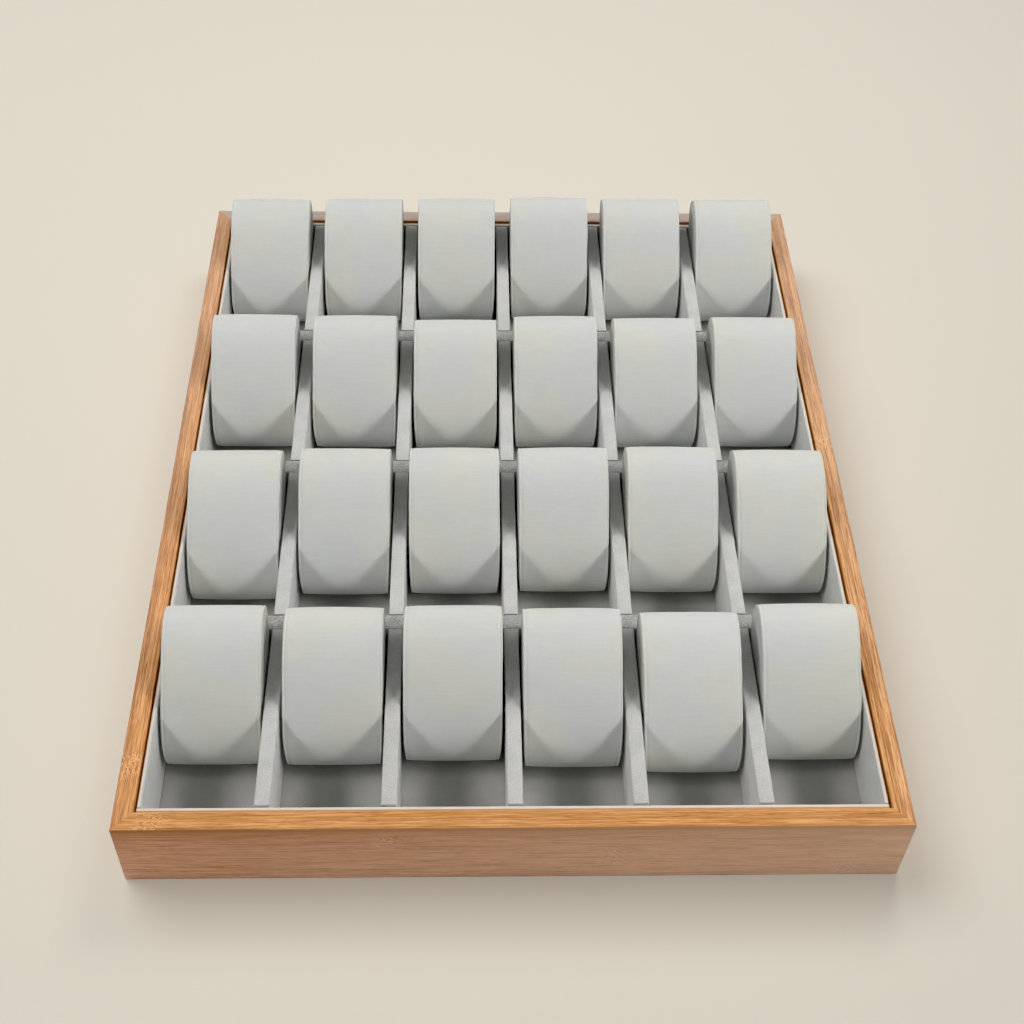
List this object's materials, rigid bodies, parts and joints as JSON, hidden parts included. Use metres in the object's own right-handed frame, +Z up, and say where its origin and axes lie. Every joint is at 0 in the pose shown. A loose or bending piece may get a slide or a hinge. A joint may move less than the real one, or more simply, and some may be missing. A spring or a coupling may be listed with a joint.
{
  "type": "watch tray",
  "caption": "Shallow bamboo-framed tray with a grey velvet divider insert and soft oval pillows that lift out, for keeping and showing wristwatches.",
  "frame": {"origin": "middle of the tray's underside, on the surface it stands on", "axes": "+Z up, -Y towards the front rail, the low side of the leaning pillows, +X to the right as seen from the front"},
  "size_m": [0.3502, 0.4342, 0.0669],
  "materials": {
    "frame_bamboo": "satin clear coat on edge-laminated caramel bamboo with fine grain and crisp arrises",
    "base_board": "plain thin fibreboard",
    "insert_velvet": "short grey velvet pile, matte",
    "pillow_suede": "pale grey microsuede, matte, with a fine nap"
  },
  "bodies": {
    "tray": {"frame_front_rail": "frame_bamboo", "frame_rear_rail": "frame_bamboo", "frame_left_rail": "frame_bamboo", "frame_right_rail": "frame_bamboo", "base_panel": "base_board", "floor_lining": "insert_velvet", "liner_front_wall": "insert_velvet", "liner_rear_wall": "insert_velvet", "liner_left_wall": "insert_velvet", "liner_right_wall": "insert_velvet", "long_divider_1": "insert_velvet", "long_divider_2": "insert_velvet", "long_divider_3": "insert_velvet", "long_divider_4": "insert_velvet", "long_divider_5": "insert_velvet", "cross_divider_1": "insert_velvet", "cross_divider_2": "insert_velvet", "cross_divider_3": "insert_velvet"},
    "pillow_r1_c1": {"pillow_r1_c1": "pillow_suede"},
    "pillow_r1_c2": {"pillow_r1_c2": "pillow_suede"},
    "pillow_r1_c3": {"pillow_r1_c3": "pillow_suede"},
    "pillow_r1_c4": {"pillow_r1_c4": "pillow_suede"},
    "pillow_r1_c5": {"pillow_r1_c5": "pillow_suede"},
    "pillow_r1_c6": {"pillow_r1_c6": "pillow_suede"},
    "pillow_r2_c1": {"pillow_r2_c1": "pillow_suede"},
    "pillow_r2_c2": {"pillow_r2_c2": "pillow_suede"},
    "pillow_r2_c3": {"pillow_r2_c3": "pillow_suede"},
    "pillow_r2_c4": {"pillow_r2_c4": "pillow_suede"},
    "pillow_r2_c5": {"pillow_r2_c5": "pillow_suede"},
    "pillow_r2_c6": {"pillow_r2_c6": "pillow_suede"},
    "pillow_r3_c1": {"pillow_r3_c1": "pillow_suede"},
    "pillow_r3_c2": {"pillow_r3_c2": "pillow_suede"},
    "pillow_r3_c3": {"pillow_r3_c3": "pillow_suede"},
    "pillow_r3_c4": {"pillow_r3_c4": "pillow_suede"},
    "pillow_r3_c5": {"pillow_r3_c5": "pillow_suede"},
    "pillow_r3_c6": {"pillow_r3_c6": "pillow_suede"},
    "pillow_r4_c1": {"pillow_r4_c1": "pillow_suede"},
    "pillow_r4_c2": {"pillow_r4_c2": "pillow_suede"},
    "pillow_r4_c3": {"pillow_r4_c3": "pillow_suede"},
    "pillow_r4_c4": {"pillow_r4_c4": "pillow_suede"},
    "pillow_r4_c5": {"pillow_r4_c5": "pillow_suede"},
    "pillow_r4_c6": {"pillow_r4_c6": "pillow_suede"}
  },
  "joints": [
    {"name": "pillow_r1_c1_lift", "type": "slide", "parent": "tray", "child": "pillow_r1_c1", "axis": [0, 0, 1], "range_m": [0, 0.08]},
    {"name": "pillow_r1_c2_lift", "type": "slide", "parent": "tray", "child": "pillow_r1_c2", "axis": [0, 0, 1], "range_m": [0, 0.08]},
    {"name": "pillow_r1_c3_lift", "type": "slide", "parent": "tray", "child": "pillow_r1_c3", "axis": [0, 0, 1], "range_m": [0, 0.08]},
    {"name": "pillow_r1_c4_lift", "type": "slide", "parent": "tray", "child": "pillow_r1_c4", "axis": [0, 0, 1], "range_m": [0, 0.08]},
    {"name": "pillow_r1_c5_lift", "type": "slide", "parent": "tray", "child": "pillow_r1_c5", "axis": [0, 0, 1], "range_m": [0, 0.08]},
    {"name": "pillow_r1_c6_lift", "type": "slide", "parent": "tray", "child": "pillow_r1_c6", "axis": [0, 0, 1], "range_m": [0, 0.08]},
    {"name": "pillow_r2_c1_lift", "type": "slide", "parent": "tray", "child": "pillow_r2_c1", "axis": [0, 0, 1], "range_m": [0, 0.08]},
    {"name": "pillow_r2_c2_lift", "type": "slide", "parent": "tray", "child": "pillow_r2_c2", "axis": [0, 0, 1], "range_m": [0, 0.08]},
    {"name": "pillow_r2_c3_lift", "type": "slide", "parent": "tray", "child": "pillow_r2_c3", "axis": [0, 0, 1], "range_m": [0, 0.08]},
    {"name": "pillow_r2_c4_lift", "type": "slide", "parent": "tray", "child": "pillow_r2_c4", "axis": [0, 0, 1], "range_m": [0, 0.08]},
    {"name": "pillow_r2_c5_lift", "type": "slide", "parent": "tray", "child": "pillow_r2_c5", "axis": [0, 0, 1], "range_m": [0, 0.08]},
    {"name": "pillow_r2_c6_lift", "type": "slide", "parent": "tray", "child": "pillow_r2_c6", "axis": [0, 0, 1], "range_m": [0, 0.08]},
    {"name": "pillow_r3_c1_lift", "type": "slide", "parent": "tray", "child": "pillow_r3_c1", "axis": [0, 0, 1], "range_m": [0, 0.08]},
    {"name": "pillow_r3_c2_lift", "type": "slide", "parent": "tray", "child": "pillow_r3_c2", "axis": [0, 0, 1], "range_m": [0, 0.08]},
    {"name": "pillow_r3_c3_lift", "type": "slide", "parent": "tray", "child": "pillow_r3_c3", "axis": [0, 0, 1], "range_m": [0, 0.08]},
    {"name": "pillow_r3_c4_lift", "type": "slide", "parent": "tray", "child": "pillow_r3_c4", "axis": [0, 0, 1], "range_m": [0, 0.08]},
    {"name": "pillow_r3_c5_lift", "type": "slide", "parent": "tray", "child": "pillow_r3_c5", "axis": [0, 0, 1], "range_m": [0, 0.08]},
    {"name": "pillow_r3_c6_lift", "type": "slide", "parent": "tray", "child": "pillow_r3_c6", "axis": [0, 0, 1], "range_m": [0, 0.08]},
    {"name": "pillow_r4_c1_lift", "type": "slide", "parent": "tray", "child": "pillow_r4_c1", "axis": [0, 0, 1], "range_m": [0, 0.08]},
    {"name": "pillow_r4_c2_lift", "type": "slide", "parent": "tray", "child": "pillow_r4_c2", "axis": [0, 0, 1], "range_m": [0, 0.08]},
    {"name": "pillow_r4_c3_lift", "type": "slide", "parent": "tray", "child": "pillow_r4_c3", "axis": [0, 0, 1], "range_m": [0, 0.08]},
    {"name": "pillow_r4_c4_lift", "type": "slide", "parent": "tray", "child": "pillow_r4_c4", "axis": [0, 0, 1], "range_m": [0, 0.08]},
    {"name": "pillow_r4_c5_lift", "type": "slide", "parent": "tray", "child": "pillow_r4_c5", "axis": [0, 0, 1], "range_m": [0, 0.08]},
    {"name": "pillow_r4_c6_lift", "type": "slide", "parent": "tray", "child": "pillow_r4_c6", "axis": [0, 0, 1], "range_m": [0, 0.08]}
  ]
}
